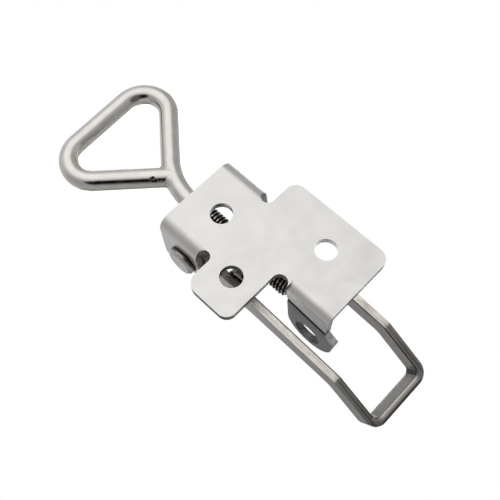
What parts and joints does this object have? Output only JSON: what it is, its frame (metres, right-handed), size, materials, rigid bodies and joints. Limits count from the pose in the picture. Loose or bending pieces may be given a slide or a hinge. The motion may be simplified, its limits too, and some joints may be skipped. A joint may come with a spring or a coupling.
{
  "type": "over centre toggle latch",
  "caption": "Adjustable over centre latch: a folded plate with ears and a padlock lug carries a U lever whose cross barrel draws a threaded wire loop.",
  "frame": {"origin": "centre of the front screw hole on the mounting face", "axes": "+X towards the draw bail, +Y towards the wide flange, +Z away from the surface that the plate is fixed to"},
  "size_m": [0.1153, 0.0402, 0.0234],
  "materials": {
    "plate_steel": "fine satin sheet, polished",
    "strip_steel": "satin strip with sheared edges",
    "rivet_steel": "turned and upset",
    "barrel_steel": "turned",
    "wire_steel": "drawn and tumbled wire"
  },
  "bodies": {
    "base": {"base_plate": "plate_steel", "pivot_rivet_left": "rivet_steel", "pivot_rivet_right": "rivet_steel"},
    "lever": {"handle": "strip_steel"},
    "carrier": {"trunnion": "barrel_steel"},
    "bail": {"draw_bail": "wire_steel"}
  },
  "joints": [
    {"name": "handle_hinge", "type": "hinge", "parent": "base", "child": "lever", "pos_m": [0.002, 0, 0.0108], "axis": [0, 1, 0], "range_deg": [0, 150]},
    {"name": "trunnion_turn", "type": "hinge", "parent": "lever", "child": "carrier", "pos_m": [-0.0145, 0, 0.0089], "axis": [0, 1, 0], "range_deg": [-150, 0]},
    {"name": "bail_adjust", "type": "slide", "parent": "carrier", "child": "bail", "axis": [1, 0, 0], "range_m": [0, 0.005]}
  ],
  "couplings": [
    {"joint": "trunnion_turn", "follows": "handle_hinge", "ratio": -1}
  ]
}
